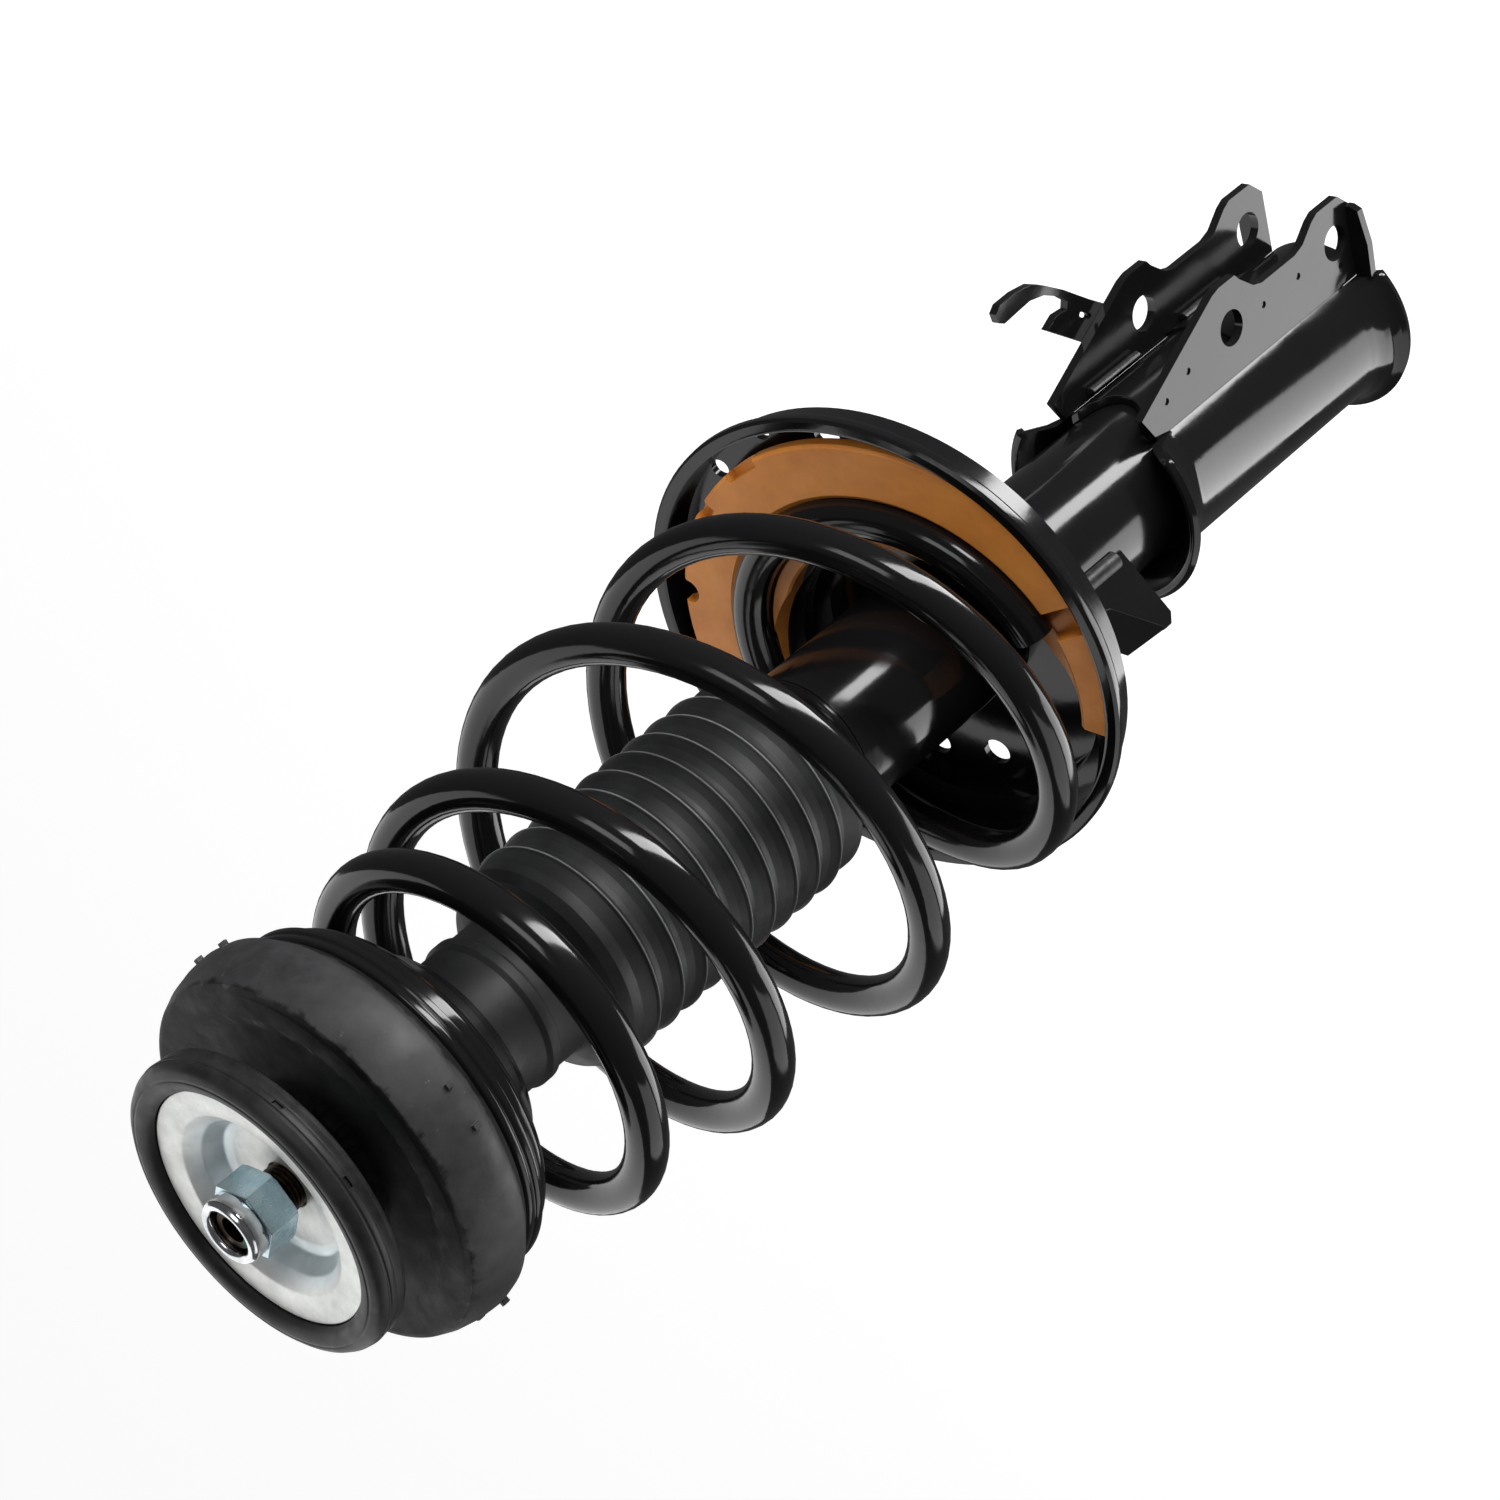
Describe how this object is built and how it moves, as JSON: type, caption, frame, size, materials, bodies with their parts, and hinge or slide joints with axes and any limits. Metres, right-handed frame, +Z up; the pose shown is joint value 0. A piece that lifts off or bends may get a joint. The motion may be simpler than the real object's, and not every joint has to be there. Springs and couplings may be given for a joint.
{
  "type": "strut assembly",
  "caption": "Suspension strut with rubber top mount, ball bearing, barrel coil spring on an orange pad, dust boot, twin-tube damper and two-ear knuckle clevis.",
  "frame": {"origin": "on the strut axis, in the plane of the top mount's upper rubber face, where the car body's tower rests", "axes": "+Z up along the strut axis towards the lock nut; +X along the clevis bolts; +Y out of the strut towards the clevis ears"},
  "size_m": [0.1702, 0.1675, 0.5274],
  "materials": {
    "zinc_nut": "blue zinc plate",
    "bright_steel": "bright turned steel",
    "zinc_plate": "clear zinc plate",
    "black_rubber": "satin moulded rubber",
    "dark_steel": "plain steel",
    "black_plastic": "gloss moulding",
    "bearing_steel": "ground steel",
    "chromed_rod": "hard chrome",
    "sintered_iron": "sintered",
    "band_plastic": "filled plastic",
    "black_paint": "gloss black coat",
    "bump_foam": "closed cell foam",
    "boot_plastic": "satin blow-moulded elastomer",
    "bush_bronze": "lined bronze",
    "orange_pad": "orange moulded elastomer"
  },
  "bodies": {
    "mount_and_rod": {"lock_nut": "zinc_nut", "nut_collar": "bright_steel", "rebound_plate": "zinc_plate", "plate_rim": "black_rubber", "mount_rubber": "black_rubber", "mount_sleeve": "dark_steel", "mount_insert": "dark_steel", "bearing_cover": "black_plastic", "upper_race": "bearing_steel", "piston_rod": "chromed_rod", "bumper_stop": "dark_steel", "rebound_bumper": "black_rubber", "piston": "sintered_iron", "piston_band": "band_plastic", "upper_shims": "bearing_steel", "lower_shims": "bearing_steel", "piston_nut": "dark_steel"},
    "bearing": {"bearing_balls": "bearing_steel", "ball_cage": "band_plastic"},
    "upper_seat": {"lower_race": "bearing_steel", "upper_seat_shell": "black_paint", "seat_ramp": "black_rubber", "bump_stop": "bump_foam", "dust_boot": "boot_plastic"},
    "strut_tube": {"outer_tube": "black_paint", "tube_cap": "black_paint", "base_cap": "black_paint", "rod_seal": "black_rubber", "rod_guide": "sintered_iron", "guide_bush": "bush_bronze", "inner_cylinder": "dark_steel", "base_valve": "sintered_iron", "base_spring": "bearing_steel", "lower_seat": "black_paint", "seat_hub": "black_paint", "insulator": "orange_pad", "coil_spring": "black_paint", "ear_right": "black_paint", "ear_left": "black_paint", "clevis_wrap": "black_paint", "clevis_brace": "black_paint", "clevis_welds": "black_paint", "hose_bracket": "black_paint", "link_bracket": "black_paint", "link_weld": "black_paint"}
  },
  "joints": [
    {"name": "steering_turn", "type": "hinge", "parent": "mount_and_rod", "child": "upper_seat", "pos_m": [0, 0, -0.0326], "axis": [0, 0, 1], "continuous": true},
    {"name": "bearing_roll", "type": "hinge", "parent": "mount_and_rod", "child": "bearing", "pos_m": [0, 0, -0.0326], "axis": [0, 0, 1], "continuous": true},
    {"name": "damper_stroke", "type": "slide", "parent": "upper_seat", "child": "strut_tube", "axis": [0, 0, 1], "range_m": [0, 0.08], "stiffness_N_per_m": 22000, "springref_m": -0.05, "deforming": ["coil_spring"]}
  ],
  "couplings": [
    {"joint": "bearing_roll", "follows": "steering_turn", "ratio": 0.5}
  ]
}
